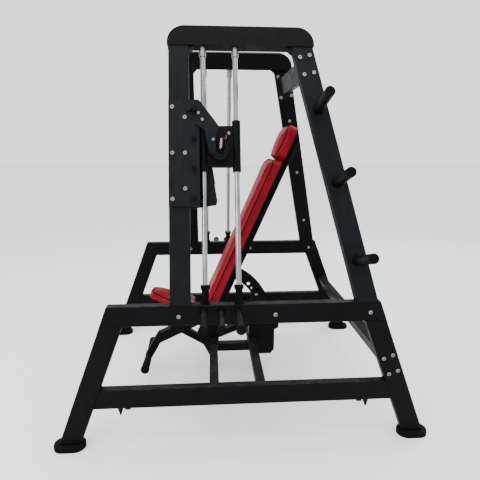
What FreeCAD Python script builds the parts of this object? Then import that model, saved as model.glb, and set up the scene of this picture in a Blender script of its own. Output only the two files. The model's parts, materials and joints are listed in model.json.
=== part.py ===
"""Plate-loaded converging press machine with an adjustable bench.

Two side frames stand on splayed legs. Above each upper rail the frame leans inward, and a carriage with
a plate sleeve, a hook and a hand grip slides on two guide rods along that lean. A bench with a hinged
backrest stands between the side frames on two cross tubes.

Millimetres. +Z is up and the floor is z = 0. The machine is symmetric about the plane y = 0. The user sits
facing -X, so the left side frame is at negative y. Every "left" piece is built and then mirrored.
"""
import FreeCAD
import Part

import math
import os

# ---- driving dimensions -------------------------------------------------------------------------
TUBE = 100.0                 # wide face of the frame tube
TUBE_DEPTH = 50.0            # narrow face of the frame tube
WALL = 3.0                   # frame tube wall
EDGE_R = 5.0                 # rounding of the frame tube's long edges
PLATE = 8.0                  # steel plate

SIDE_Y = 707.0               # outer face of each side frame, from the centre plane
RAIL_TOP = 750.0             # top of the upper rail
LOW_RAIL_TOP = 320.0         # top of the lower rail
LEG_TOP_X = 659.0            # outer edge of a leg at the upper rail's top
LEG_SLOPE = 0.380            # outward run of a leg for each unit of drop
LEG_WIDTH = 107.0            # leg width measured level
FOOT_FLOOR = 10.0            # rubber under the leg's end

LEAN = 17.0                  # inward lean of the upper side frame, degrees
BEAM_BOTTOM = 1283.0         # distances up the lean are measured from the upper rail's top outer edge
BEAM_TOP = 1383.0
FRONT_UPRIGHT_X = -363.0     # front edge of the front upright
REAR_UPRIGHT_X = 541.0       # front edge of the rear upright at the rail
REAR_UPRIGHT_SLOPE = 0.2229  # how far the rear upright runs forward for each unit up the lean
REAR_UPRIGHT_WIDTH = 107.0   # measured level

ROD_R = 12.5                 # guide rods
ROD_X = (-194.0, -31.5)
ROD_DEPTH = 25.0             # rod centre, in from the side frame's outer face
SLEEVE_X = sum(ROD_X) / 2    # the carriage pivot lies midway between the rods
SLEEVE_UP = 745.0            # carriage pivot up the lean, hooked on the top catch pin

CATCH_X = -240.0             # row of catch pins
CATCH_TOP = 948.0
CATCH_STEP = 145.5
CATCH_R = 8.0

BACK_ANGLE = 24.0            # backrest from upright, degrees
BACK_PIVOT = (-150.0, 400.0)  # x, z of the backrest's hinge
HOLE_RADIUS = 314.0          # adjuster holes from the hinge
HOLE_STEP = 7.0              # degrees between adjuster holes
PIN_ANGLE = 31.0             # locking pin's place on the hole circle, degrees above level
LOCK_PIN_R = 9.92
LOCK_HOLE_R = 10.0

SEAT_ANGLE = 21.0            # seat's tilt, front edge high, degrees
BOLT_R = 6.0
BOLT_HEAD_R = 10.5
BOLT_HEAD_H = 7.0
SOCKET_R = 5.6               # hexagon socket, corner to centre

SIDES = ("left", "right")


# ---- small tools --------------------------------------------------------------------------------
def vec(x, y, z):
    return FreeCAD.Vector(x, y, z)


def outline(points, y):
    """Closed wire in the plane of one y. Each point is (x, z) or (x, z, corner radius)."""
    corners = []
    for i, point in enumerate(points):
        here = vec(point[0], y, point[1])
        following = points[(i + 1) % len(points)]
        radius = point[2] if len(point) > 2 else 0.0
        if radius == 0.0:
            corners.append((here, None, here))
            continue
        back = (vec(points[i - 1][0], y, points[i - 1][1]) - here).normalize()
        ahead = (vec(following[0], y, following[1]) - here).normalize()
        half = back.getAngle(ahead) / 2
        reach = radius / math.tan(half)
        inward = (back + ahead).normalize()
        middle = here + inward * (radius / math.sin(half) - radius)
        corners.append((here + back * reach, middle, here + ahead * reach))
    edges = []
    for i, (start, middle, end) in enumerate(corners):
        if middle is not None:
            edges.append(Part.Arc(start, middle, end).toShape())
        next_start = corners[(i + 1) % len(corners)][0]
        if (next_start - end).Length > 1e-6:
            edges.append(Part.makeLine(end, next_start))
    return Part.Wire(edges)


def plate(points, y0, y1):
    """Flat piece with an (x, z) outline, filling y0 to y1."""
    return Part.Face(outline(points, y0)).extrude(vec(0, y1 - y0, 0))


def mirrored_pair(shape):
    """The shape and its mirror image across the centre plane."""
    return [shape, shape.mirror(vec(0, 0, 0), vec(0, 1, 0))]


def rod_y(x, z, radius, y0, y1):
    return Part.makeCylinder(radius, y1 - y0, vec(x, y0, z), vec(0, 1, 0))


def round_long_edges(solid, direction, radius):
    """Rounds the straight edges that run along a direction."""
    edges = [e for e in solid.Edges if len(e.Vertexes) == 2
             and abs(abs(e.tangentAt(e.FirstParameter).dot(direction)) - 1) < 1e-6]
    return solid.makeFillet(radius, edges)


def tube(first, second, y0, y1, wall=WALL, capped=False):
    """Hollow tube seen from the side. first and second are its two long edges, each (x, z) to (x, z)."""
    (ax, az), (bx, bz) = first
    (cx, cz), (dx, dz) = second
    along = vec(bx - ax, 0, bz - az).normalize()
    across = vec(cx - ax, 0, cz - az)
    across = (across - along * across.dot(along)).normalize()
    solid = plate([(ax, az), (bx, bz), (dx, dz), (cx, cz)], y0, y1)
    solid = round_long_edges(solid, along, min(EDGE_R, (y1 - y0) / 6))
    over = along * (-wall if capped else 2 * wall + 4)
    inner = [vec(ax, 0, az) + across * wall - over, vec(bx, 0, bz) + across * wall + over,
             vec(dx, 0, dz) - across * wall + over, vec(cx, 0, cz) - across * wall - over]
    return solid.cut(plate([(p.x, p.z) for p in inner], y0 + wall, y1 - wall))


def lean(shape):
    """Places a left piece modelled upright: y is the depth in from the outer face, z is up the lean."""
    shape = shape.copy()
    shape.rotate(vec(0, 0, 0), vec(1, 0, 0), -LEAN)
    shape.translate(vec(0, -SIDE_Y, RAIL_TOP))
    return shape


def above_rail(shape):
    """Trims a leaning piece level with the upper rail's top."""
    return shape.cut(Part.makeBox(4000, 4000, 2000, vec(-2000, -2000, RAIL_TOP - 2000)))


def leg_edge(z):
    return LEG_TOP_X + (RAIL_TOP - z) * LEG_SLOPE


def rear_upright_centre(up):
    return REAR_UPRIGHT_X - REAR_UPRIGHT_SLOPE * up + REAR_UPRIGHT_WIDTH / 2


def bolt(x, y, z, outward):
    """Button-head socket bolt on a face of constant y. Outward is -1 or 1 along y."""
    out = vec(0, outward, 0)
    base = vec(x, y, z)
    head = Part.makeCylinder(BOLT_HEAD_R, BOLT_HEAD_H, base, out)
    head = head.makeFillet(3.0, [e for e in head.Edges
                                 if abs(e.BoundBox.Center.y - (y + outward * BOLT_HEAD_H)) < 1e-6
                                 and e.BoundBox.XLength > BOLT_HEAD_R])
    corners = [(x + SOCKET_R * math.cos(math.radians(60 * i)), z + SOCKET_R * math.sin(math.radians(60 * i)))
               for i in range(6)]
    socket = plate(corners, y + outward * (BOLT_HEAD_H - 5), y + outward * (BOLT_HEAD_H + 1))
    return head.fuse(bolt_shank(x, y, z, outward)).cut(socket)


def bolt_shank(x, y, z, outward):
    return Part.makeCylinder(BOLT_R, 1.5 * PLATE, vec(x, y, z), vec(0, -outward, 0))


def group(shapes):
    return Part.makeCompound(shapes)


# ---- side frame ---------------------------------------------------------------------------------
def rail_outline(top, bottom, inset):
    return [(-leg_edge(top) + inset, top), (leg_edge(top) - inset, top),
            (leg_edge(bottom) - inset, bottom), (-leg_edge(bottom) + inset, bottom)]


def upper_rail():
    """Reaches out over both legs."""
    left_top, right_top, right_low, left_low = rail_outline(RAIL_TOP, RAIL_TOP - TUBE, 0)
    return tube((left_top, right_top), (left_low, right_low), -SIDE_Y, -SIDE_Y + TUBE_DEPTH, capped=True)


def lower_rail():
    """Runs between the legs, with a pointed lug and a stop block under each end."""
    left_top, right_top, right_low, left_low = rail_outline(LOW_RAIL_TOP, LOW_RAIL_TOP - TUBE, LEG_WIDTH)
    pieces = [tube((left_top, right_top), (left_low, right_low), -SIDE_Y, -SIDE_Y + TUBE_DEPTH)]
    under = LOW_RAIL_TOP - TUBE
    middle = -SIDE_Y + TUBE_DEPTH / 2
    for way in (-1, 1):
        wide, narrow = (way * 606, way * 640), (way * 629, way * 622)
        corners = [(wide[0], under), (wide[1], under), (narrow[0], under - 46), (narrow[1], under - 46)]
        pieces.append(plate(corners, middle - 4, middle + 4))
        pieces.append(Part.makeBox(27, 30, 13, vec(way * 586.5 - 13.5, middle - 15, under - 13)))
    return pieces


def leg(way):
    """way is -1 for the front leg and 1 for the rear leg."""
    top, bottom = RAIL_TOP - TUBE, FOOT_FLOOR
    outer = ((way * leg_edge(bottom), bottom), (way * leg_edge(top), top))
    inner = tuple((x - way * LEG_WIDTH, z) for x, z in outer)
    return tube(outer, inner, -SIDE_Y, -SIDE_Y + TUBE_DEPTH)


def foot(way):
    """Rubber shoe: a long rounded pad with a pocket that holds the leg's end."""
    bottom, top, reach = 0.0, 28.0, 25.0
    outer_x, inner_x = leg_edge(FOOT_FLOOR), leg_edge(FOOT_FLOOR) - LEG_WIDTH
    half = TUBE_DEPTH / 2 + reach
    middle_y = -SIDE_Y + TUBE_DEPTH / 2
    ends = [vec(way * (inner_x - reach + half), middle_y, bottom),
            vec(way * (outer_x + reach - half), middle_y, bottom)]
    pad = Part.makeCylinder(half, top, ends[0]).fuse(Part.makeCylinder(half, top, ends[1]))
    low_x = min(p.x for p in ends)
    block = Part.makeBox(abs(ends[1].x - ends[0].x), 2 * half, top, vec(low_x, middle_y - half, bottom))
    pad = pad.fuse(block)
    pad = pad.removeSplitter()
    pad = pad.makeFillet(7.0, [e for e in pad.Edges if abs(e.BoundBox.ZMin - top) < 1e-6
                               and abs(e.BoundBox.ZMax - top) < 1e-6])
    pocket = plate([(way * outer_x, FOOT_FLOOR), (way * (outer_x - 60 * LEG_SLOPE), FOOT_FLOOR + 60),
                    (way * (inner_x - 60 * LEG_SLOPE), FOOT_FLOOR + 60), (way * inner_x, FOOT_FLOOR)],
                   -SIDE_Y, -SIDE_Y + TUBE_DEPTH)
    return pad.cut(pocket)


def front_upright():
    x0, x1 = FRONT_UPRIGHT_X, FRONT_UPRIGHT_X + TUBE
    upright = tube(((x0, -20), (x0, BEAM_BOTTOM)), ((x1, -20), (x1, BEAM_BOTTOM)), 0, TUBE_DEPTH)
    return above_rail(lean(upright))


def rear_upright():
    ends = [(REAR_UPRIGHT_X - REAR_UPRIGHT_SLOPE * up, up) for up in (-20.0, BEAM_BOTTOM)]
    back = [(x + REAR_UPRIGHT_WIDTH, up) for x, up in ends]
    return above_rail(lean(tube(tuple(ends), tuple(back), 0, TUBE_DEPTH)))


def top_beam():
    """Closed box beam with large rounded top corners and a small gusset inside each upright."""
    lap, corner, wall = 6.0, 86.0, 4.0
    front = FRONT_UPRIGHT_X - lap
    rear = rear_upright_centre(BEAM_BOTTOM) + REAR_UPRIGHT_WIDTH / 2 + lap
    shell = plate([(front, BEAM_BOTTOM, 4), (rear, BEAM_BOTTOM, 4), (rear, BEAM_TOP, corner),
                   (front, BEAM_TOP, corner)], -lap + 1, TUBE_DEPTH + lap - 1)
    hollow = plate([(front + wall, BEAM_BOTTOM + wall), (rear - wall, BEAM_BOTTOM + wall),
                    (rear - wall, BEAM_TOP - wall, corner - wall),
                    (front + wall, BEAM_TOP - wall, corner - wall)],
                   -lap + 1 + wall, TUBE_DEPTH + lap - 1 - wall)
    beam = shell.cut(hollow)
    front_face = FRONT_UPRIGHT_X + TUBE
    rear_face = REAR_UPRIGHT_X - REAR_UPRIGHT_SLOPE * BEAM_BOTTOM
    for edge_x, way in ((front_face, 1), (rear_face, -1)):
        size = 26.0
        drift = REAR_UPRIGHT_SLOPE * size if way < 0 else 0.0
        gusset = plate([(edge_x, BEAM_BOTTOM), (edge_x + way * size, BEAM_BOTTOM),
                        (edge_x + drift, BEAM_BOTTOM - size)], TUBE_DEPTH / 2 - 20, TUBE_DEPTH / 2 + 20)
        beam = beam.fuse(gusset)
    return lean(beam)


def outer_plate():
    solid = plate([(FRONT_UPRIGHT_X, 475), (-213, 475), (-213, 1001), (FRONT_UPRIGHT_X, 1001)], -PLATE, 0)
    holes = [rod_y(CATCH_X, up, CATCH_R, -PLATE, 0) for up in catch_heights()]
    return lean(solid.cut(holes))


def inner_plate():
    """Guards the hand side of the catch pins and flares out below the rack."""
    solid = plate([(FRONT_UPRIGHT_X, 475), (-225, 475), (-133, 489, 6), (-129, 512), (-146, 623), (-158, 671),
                   (-213, 1001, 15), (FRONT_UPRIGHT_X, 1001)], TUBE_DEPTH, TUBE_DEPTH + PLATE)
    holes = [rod_y(CATCH_X, up, CATCH_R, TUBE_DEPTH, TUBE_DEPTH + PLATE) for up in catch_heights()]
    return lean(solid.cut(holes))


def catch_heights():
    return [CATCH_TOP - CATCH_STEP * i for i in range(4)]


def catch_pins():
    """Four pins through both plates, each with a wide head that keeps the hook on."""
    pins = []
    for up in catch_heights():
        head = rod_y(CATCH_X, up, 12.0, -30.0, -24.0)
        head = head.makeChamfer(1.5, [e for e in head.Edges if abs(e.BoundBox.Center.y + 30) < 1e-6
                                      and e.BoundBox.XLength > 20])
        pins.append(lean(head.fuse(rod_y(CATCH_X, up, CATCH_R, -24.0, TUBE_DEPTH + PLATE + 4))))
    return pins


def guide_rods():
    rods = [Part.makeCylinder(ROD_R, BEAM_BOTTOM + 40, vec(x, ROD_DEPTH, -40)) for x in ROD_X]
    return [above_rail(lean(rod)) for rod in rods]


def rod_collars():
    solids = []
    for x in ROD_X:
        collar = Part.makeCylinder(17.0, 50, vec(x, ROD_DEPTH, BEAM_BOTTOM - 50))
        collar = collar.cut(Part.makeCylinder(ROD_R, 50, vec(x, ROD_DEPTH, BEAM_BOTTOM - 50)))
        solids.append(lean(collar))
    return solids


def rod_bumpers():
    """Rubber stops: base ring, barrel, flare and a wide top ring."""
    solids = []
    for x in ROD_X:
        at = vec(x, ROD_DEPTH, -20)
        bumper = Part.makeCylinder(22.5, 38, at).fuse([
            Part.makeCylinder(17.5, 91, at),
            Part.makeCone(17.5, 23.5, 9, vec(x, ROD_DEPTH, 71)),
            Part.makeCylinder(23.5, 16, vec(x, ROD_DEPTH, 80))]).removeSplitter()
        bumper = bumper.cut(Part.makeCylinder(ROD_R, 130, at))
        solids.append(above_rail(lean(bumper)))
    return solids


def stop_washers():
    """Steel washer lying on each rubber stop."""
    solids = []
    for x in ROD_X:
        at = vec(x, ROD_DEPTH, 96)
        solids.append(lean(Part.makeCylinder(18.0, 4, at).cut(Part.makeCylinder(ROD_R, 4, at))))
    return solids


def storage_peg_heights():
    return (960.0, 590.0, 203.0)


def storage_pegs():
    """Round pegs square to the rear upright's outer face, with a root ring and a closed outer end."""
    pegs = []
    for up in storage_peg_heights():
        x = rear_upright_centre(up)
        peg = rod_y(x, up, 24.0, -220.0, 0.0)
        peg = peg.makeChamfer(2.0, [e for e in peg.Edges if abs(e.BoundBox.Center.y + 220) < 1e-6
                                    and e.BoundBox.XLength > 40])
        peg = peg.fuse(rod_y(x, up, 28.0, -8.0, 0.0)).removeSplitter()
        pegs.append(lean(peg.cut(rod_y(x, up, 20.0, -212.0, 0.0))))
    return pegs


def band_pegs():
    """Level pegs on the upper rail, each with a root ring and an end flange."""
    pegs = []
    for x in (-202.0, -120.0, -37.5):
        z = RAIL_TOP - 35
        parts = [rod_y(x, z, 15.5, -SIDE_Y - 202, -SIDE_Y), rod_y(x, z, 20.0, -SIDE_Y - 6, -SIDE_Y),
                 rod_y(x, z, 22.5, -SIDE_Y - 210, -SIDE_Y - 202)]
        pegs.append(parts[0].fuse(parts[1:]).removeSplitter())
    return pegs


# ---- carriage -----------------------------------------------------------------------------------
CARRIAGE_LOW, CARRIAGE_HIGH = 648.0, 904.0
HOUSING_R, BUSHING_R, RUNNING_FIT = 21.0, 17.0, 0.05
AXLE_R = 11.0


def linear_bushings():
    """One bushing in each end of each bearing tube."""
    length = 60.0
    solids = []
    for x in ROD_X:
        for up in (CARRIAGE_LOW, CARRIAGE_HIGH - length):
            at = vec(x, ROD_DEPTH, up)
            ring = Part.makeCylinder(BUSHING_R, length, at)
            solids.append(lean(ring.cut(Part.makeCylinder(ROD_R + RUNNING_FIT, length, at))))
    return solids


def carriage():
    """Two bearing tubes joined by a front and a back plate, with a bored hub between the plates."""
    length = CARRIAGE_HIGH - CARRIAGE_LOW
    housings = [Part.makeCylinder(HOUSING_R, length, vec(x, ROD_DEPTH, CARRIAGE_LOW)) for x in ROD_X]
    axle_bore = rod_y(SLEEVE_X, SLEEVE_UP, AXLE_R + RUNNING_FIT, 0, 60)
    webs = []
    for y0 in (14.0, 28.0):
        web = plate([(ROD_X[0], 672), (ROD_X[1], 672), (ROD_X[1], 878), (ROD_X[0], 878)], y0, y0 + PLATE)
        web = web.cut(housings + [axle_bore])
        webs.append(min(web.Solids, key=lambda piece: abs(piece.CenterOfMass.x - SLEEVE_X)))
    bores = [Part.makeCylinder(BUSHING_R, length, vec(x, ROD_DEPTH, CARRIAGE_LOW)) for x in ROD_X]
    tubes = [housing.cut(bore) for housing, bore in zip(housings, bores)]
    hub = rod_y(SLEEVE_X, SLEEVE_UP, 22.0, 22.0, 28.0).cut(axle_bore)
    return [lean(piece) for piece in tubes + webs + [hub]]


def pivot_flange():
    """Bearing flange on the carriage's front plate."""
    flange = rod_y(SLEEVE_X, SLEEVE_UP, 38.0, -10.0, 14.0)
    flange = flange.makeChamfer(2.0, [e for e in flange.Edges if abs(e.BoundBox.Center.y + 10) < 1e-6
                                      and e.BoundBox.XLength > 70])
    return lean(flange.cut(rod_y(SLEEVE_X, SLEEVE_UP, AXLE_R + RUNNING_FIT, -20, 60)))


# ---- hook, sleeve and grip, turning together on the pivot axle ----------------------------------
HOOK_FRONT, HOOK_BACK = -20.0, -12.0
SLEEVE_R, SLEEVE_ROOT, SLEEVE_END = 25.0, -44.0, -286.0


def hook_plate():
    """Arm that reaches over the top catch pin. Its throat is open below and towards the front."""
    boss = rod_y(SLEEVE_X, SLEEVE_UP, 38.0, HOOK_FRONT, HOOK_BACK)
    head = rod_y(-234, 958, 40.0, HOOK_FRONT, HOOK_BACK)
    arm = plate([(-231, 876, 6), (-231, 958), (-195, 972, 10), (-121, 870, 40), (-76, 757), (-132, 712),
                 (-162, 728, 15), (-178, 790, 40), (-187, 848, 20)], HOOK_FRONT, HOOK_BACK)
    reach = math.hypot(CATCH_X - SLEEVE_X, CATCH_TOP - SLEEVE_UP) + CATCH_R + 0.3
    throat_right = CATCH_X + CATCH_R + 1.5
    throat = rod_y(SLEEVE_X, SLEEVE_UP, reach, HOOK_FRONT - 1, HOOK_BACK + 1)
    throat = throat.common(Part.makeBox(200, 40, 600, vec(throat_right - 200, -40, 600)))
    return arm.fuse([boss, head]).cut(throat)


def hook():
    """Hook plate, stop ring and pivot axle welded in one. The axle ends inside the sleeve and the grip."""
    pieces = [rod_y(SLEEVE_X, SLEEVE_UP, 39.0, SLEEVE_ROOT, SLEEVE_ROOT + 14),
              rod_y(SLEEVE_X, SLEEVE_UP, 24.0, SLEEVE_ROOT + 14, HOOK_FRONT),
              rod_y(SLEEVE_X, SLEEVE_UP, 21.0, -120.0, SLEEVE_ROOT),
              rod_y(SLEEVE_X, SLEEVE_UP, AXLE_R, HOOK_FRONT, 188.0)]
    return lean(hook_plate().fuse(pieces).removeSplitter())


def plate_sleeve():
    tube_y = (SLEEVE_END, SLEEVE_ROOT)
    return lean(rod_y(SLEEVE_X, SLEEVE_UP, SLEEVE_R, *tube_y).cut(rod_y(SLEEVE_X, SLEEVE_UP, 21.0, *tube_y)))


def sleeve_cap():
    """Black plug with a domed face and a short spigot inside the sleeve."""
    face = rod_y(SLEEVE_X, SLEEVE_UP, SLEEVE_R, SLEEVE_END - 8, SLEEVE_END)
    face = face.makeFillet(4.0, [e for e in face.Edges if abs(e.BoundBox.Center.y - SLEEVE_END + 8) < 1e-6
                                 and e.BoundBox.XLength > 40])
    return lean(face.fuse(rod_y(SLEEVE_X, SLEEVE_UP, 21.0, SLEEVE_END, SLEEVE_END + 20)))


def hand_grip():
    grip = rod_y(SLEEVE_X, SLEEVE_UP, 16.0, 62.0, 194.0).fuse(rod_y(SLEEVE_X, SLEEVE_UP, 20.0, 62.0, 68.0))
    grip = grip.fuse(rod_y(SLEEVE_X, SLEEVE_UP, 19.0, 188.0, 194.0)).removeSplitter()
    return lean(grip.cut(rod_y(SLEEVE_X, SLEEVE_UP, AXLE_R, 60.0, 188.0)))


# ---- cross members ------------------------------------------------------------------------------
UPPER_CROSS_UP = 1188.0      # up the lean, on the rear uprights
LOWER_CROSS_Z = 414.0        # on the rear legs


def slanted_box(x, z, slope, width, height, y0, y1, radius=0.0):
    """Block whose height follows a slope: x falls by slope for each unit of rise."""
    up = vec(-slope, 0, 1).normalize()
    side = vec(up.z, 0, -up.x)
    centre = vec(x, 0, z)
    corners = [centre + side * (i * width / 2) + up * (j * height / 2) for i, j in
               ((-1, -1), (1, -1), (1, 1), (-1, 1))]
    return plate([(p.x, p.z, radius) if radius else (p.x, p.z) for p in corners], y0, y1)


def upper_crossmember():
    slope = REAR_UPRIGHT_SLOPE / math.cos(math.radians(LEAN))
    x = rear_upright_centre(UPPER_CROSS_UP)
    z = RAIL_TOP + UPPER_CROSS_UP * math.cos(math.radians(LEAN)) - 16
    bar = slanted_box(x, z, slope, TUBE_DEPTH, TUBE, -500, 500, 5.0)
    bar = bar.cut(slanted_box(x, z, slope, TUBE_DEPTH - 2 * WALL, TUBE - 2 * WALL, -500, 500))
    outside = lean(Part.makeBox(2000, 600, 2000, vec(-1000, -600 + TUBE_DEPTH + PLATE, -200)))
    bar = bar.cut(mirrored_pair(outside))
    end = slanted_box(x, UPPER_CROSS_UP, REAR_UPRIGHT_SLOPE, 92, 160, TUBE_DEPTH, TUBE_DEPTH + PLATE, 8.0)
    return [bar] + mirrored_pair(lean(end))


def lower_crossmember():
    x = leg_edge(LOWER_CROSS_Z) - LEG_WIDTH / 2
    inner = SIDE_Y - TUBE_DEPTH - PLATE
    bar = slanted_box(x, LOWER_CROSS_Z, LEG_SLOPE, TUBE_DEPTH, TUBE, -inner, inner, 5.0)
    hollow = slanted_box(x, LOWER_CROSS_Z, LEG_SLOPE, TUBE_DEPTH - 2 * WALL, TUBE - 2 * WALL, -inner, inner)
    bar = bar.cut(hollow)
    end = slanted_box(x, LOWER_CROSS_Z, LEG_SLOPE, 92, 160, -inner - PLATE, -inner, 8.0)
    return [bar] + mirrored_pair(end)


# ---- bench --------------------------------------------------------------------------------------
CROSS_TUBE_X = (-156.0, 92.0)
CROSS_TUBE = 50.0
CROSS_TUBE_Z = 220.0         # underside of the cross tubes
EAR_Y = 30.5                 # inner face of the hinge ears and of the adjuster box's side plates
SPINE_SLOPE = 0.474
SPINE_HEIGHT = 69.0          # measured upright
BACK_TUBE_HALF = 30.0
SECTOR_INNER, SECTOR_OUTER = 290.0, 368.0


def bench_cross_tubes():
    """Two level tubes between the lower rails."""
    inner = SIDE_Y - TUBE_DEPTH - PLATE
    tubes = []
    for x in CROSS_TUBE_X:
        top = CROSS_TUBE_Z + CROSS_TUBE
        x0, x1 = x - CROSS_TUBE / 2, x + CROSS_TUBE / 2
        bar = plate([(x0, CROSS_TUBE_Z, 4), (x1, CROSS_TUBE_Z, 4), (x1, top, 4), (x0, top, 4)], -inner, inner)
        tubes.append(bar.cut(plate([(x0 + WALL, CROSS_TUBE_Z + WALL), (x1 - WALL, CROSS_TUBE_Z + WALL),
                                    (x1 - WALL, top - WALL), (x0 + WALL, top - WALL)], -inner, inner)))
    return tubes


def bench_end_plates():
    """Plates that hold the cross tubes against the lower rails' inner faces."""
    inner = SIDE_Y - TUBE_DEPTH
    solid = plate([(-195, 198, 8), (137, 198, 8), (137, 310, 8), (-195, 310, 8)], -inner, -inner + PLATE)
    return mirrored_pair(solid)


def bench_beam():
    """Lengthwise tube under the cross tubes."""
    x0, x1 = CROSS_TUBE_X[0] - CROSS_TUBE / 2, 232.0
    return tube(((x0, 170), (x1, 170)), ((x0, CROSS_TUBE_Z), (x1, CROSS_TUBE_Z)), -EAR_Y, EAR_Y,
                capped=True)


def hinge_ears():
    """Side plates that rise from the front cross tube and hold the backrest's hinge pin."""
    x, z = BACK_PIVOT
    solid = plate([(-181, 146), (-131, 150), (-118, 300), (x + 30, z + 30, 29), (x - 30, z + 30, 29),
                   (-252, 372), (-196, 300), (-225, 233)], -EAR_Y - PLATE, -EAR_Y)
    low = CROSS_TUBE_X[0] - CROSS_TUBE / 2
    slot = Part.makeBox(CROSS_TUBE, 200, CROSS_TUBE, vec(low, -100, CROSS_TUBE_Z))
    return mirrored_pair(solid.cut([slot, rod_y(x, z, 10.0, -100, 0)]))


def hinge_pin():
    x, z = BACK_PIVOT
    reach = EAR_Y + PLATE
    pin = rod_y(x, z, 10.0, -reach, reach)
    heads = [rod_y(x, z, 14.0, -reach - 6, -reach), rod_y(x, z, 14.0, reach, reach + 6)]
    return pin.fuse(heads).removeSplitter()


def spine_low(x):
    return 303.0 + SPINE_SLOPE * (x + 366.0)


def spine_top(x):
    return spine_low(x) + SPINE_HEIGHT


def seat_spine():
    """Tube that climbs from the front handle to the hinge ears."""
    x0, x1 = -505.0, -192.0
    return tube(((x0, spine_low(x0)), (x1, spine_low(x1))), ((x0, spine_top(x0)), (x1, spine_top(x1))),
                -EAR_Y, EAR_Y)


def seat_brace():
    """Diagonal from the spine down to the front cross tube."""
    end = CROSS_TUBE_X[0] - CROSS_TUBE / 2
    starts = (-366.0, -317.0)
    first, second = [((x, spine_low(x)), (end, spine_low(x) - 0.596 * (end - x))) for x in starts]
    return tube(first, second, -22, 22)


def bench_strut():
    """Rises from the hinge ears to the adjuster box."""
    x0, x1, rise = CROSS_TUBE_X[0] + CROSS_TUBE / 2, 110.0, 0.389
    low = 263.0
    first = ((x0, low), (x1, low + rise * (x1 - x0)))
    second = tuple((x, z + 43.0) for x, z in first)
    return tube(first, second, -EAR_Y, EAR_Y)


def lock_pin_place():
    angle = math.radians(PIN_ANGLE)
    return (BACK_PIVOT[0] + HOLE_RADIUS * math.cos(angle), BACK_PIVOT[1] + HOLE_RADIUS * math.sin(angle))


def adjuster_box():
    """Two tall side plates with a front and a rear web. The backrest's toothed arcs pass between them."""
    x, z = lock_pin_place()
    y0, y1 = -EAR_Y - PLATE, -EAR_Y
    side = plate([(84, 150), (221, 150), (241, 190), (241, 318, 10), (268, 332, 10), (268, 392, 20),
                  (x + 30, z + 22, 26), (x - 28, z + 22, 26), (84, 430)], y0, y1)
    low = CROSS_TUBE_X[1] - CROSS_TUBE / 2
    side = side.cut(Part.makeBox(CROSS_TUBE, 200, CROSS_TUBE, vec(low, -100, CROSS_TUBE_Z)))
    left, right = mirrored_pair(side)
    outer = EAR_Y + PLATE
    front_web = Part.makeBox(PLATE, 2 * outer, 73, vec(84 - PLATE, -outer, 270))
    rear_web = Part.makeBox(PLATE, 2 * EAR_Y, 148, vec(232, -EAR_Y, 166))
    return [left.cut(rod_y(x, z, BOLT_R, -outer, 0)), right.cut(rod_y(x, z, LOCK_HOLE_R, 0, outer)),
            front_web, rear_web]


def front_handle():
    """Neck that drops from the spine to a cross bar."""
    bar_x, bar_z = -577.0, 150.0
    top_x, top_z = -498.0, 288.0
    along = vec(bar_x - top_x, 0, bar_z - top_z).normalize()
    side = vec(along.z, 0, -along.x) * 24.0
    top, low = vec(top_x, 0, top_z), vec(bar_x, 0, bar_z) + along * 6
    neck = plate([(p.x, p.z) for p in (top + side, low + side, low - side, top - side)], -25, 25)
    neck = round_long_edges(neck, along, EDGE_R)
    neck = neck.fuse(Part.makeBox(6, 2 * EAR_Y, 75, vec(-511, -EAR_Y, 234)))
    neck = neck.cut(Part.makeBox(200, 100, 400, vec(-505, -50, 100)))
    return neck.fuse(rod_y(bar_x, bar_z, 15.0, -198, 198)).removeSplitter()


def front_handle_grips():
    """Ribbed rubber grips that widen towards the ends of the cross bar."""
    bar_x, bar_z = -577.0, 150.0
    base = vec(bar_x, -32, bar_z)
    out = vec(0, -1, 0)
    grip = Part.makeCone(21.0, 25.0, 166, base, out).fuse(
        Part.makeCylinder(26.5, 8, vec(bar_x, -198, bar_z), out)).removeSplitter()
    grooves = []
    for i in range(7):
        y = -52.0 - 20.0 * i
        floor_r = 20.2 + 0.45 * i
        grooves.append(rod_y(bar_x, bar_z, 28, y - 2, y + 2).cut(rod_y(bar_x, bar_z, floor_r, y - 2, y + 2)))
    return mirrored_pair(grip.cut(grooves + [rod_y(bar_x, bar_z, 15.0, -198, 0)]))


def seat_post():
    """Post and carrier plate that hold the seat on the spine."""
    x0, x1 = -430.0, -380.0
    carrier = seat_block(-630, -470, 299, 305, -60, 60)
    under = [seat_height(x, 299.0) for x in (x0, x1)]
    post = tube(((x0, spine_top(x0)), (x0, under[0])), ((x1, spine_top(x1)), (x1, under[1])), -25, 25)
    return [post, carrier]


def seat_axes():
    angle = math.radians(SEAT_ANGLE)
    return vec(math.cos(angle), 0, -math.sin(angle)), vec(math.sin(angle), 0, math.cos(angle))


def seat_height(x, level):
    """z of the seat plane at one level above the seat's own origin, over a given x."""
    along, up = seat_axes()
    run = (x - level * up.x) / along.x
    return run * along.z + level * up.z


def seat_block(a0, a1, b0, b1, y0, y1):
    along, up = seat_axes()
    corners = [along * a + up * b for a, b in ((a0, b0), (a1, b0), (a1, b1), (a0, b1))]
    return plate([(p.x, p.z) for p in corners], y0, y1)


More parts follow.
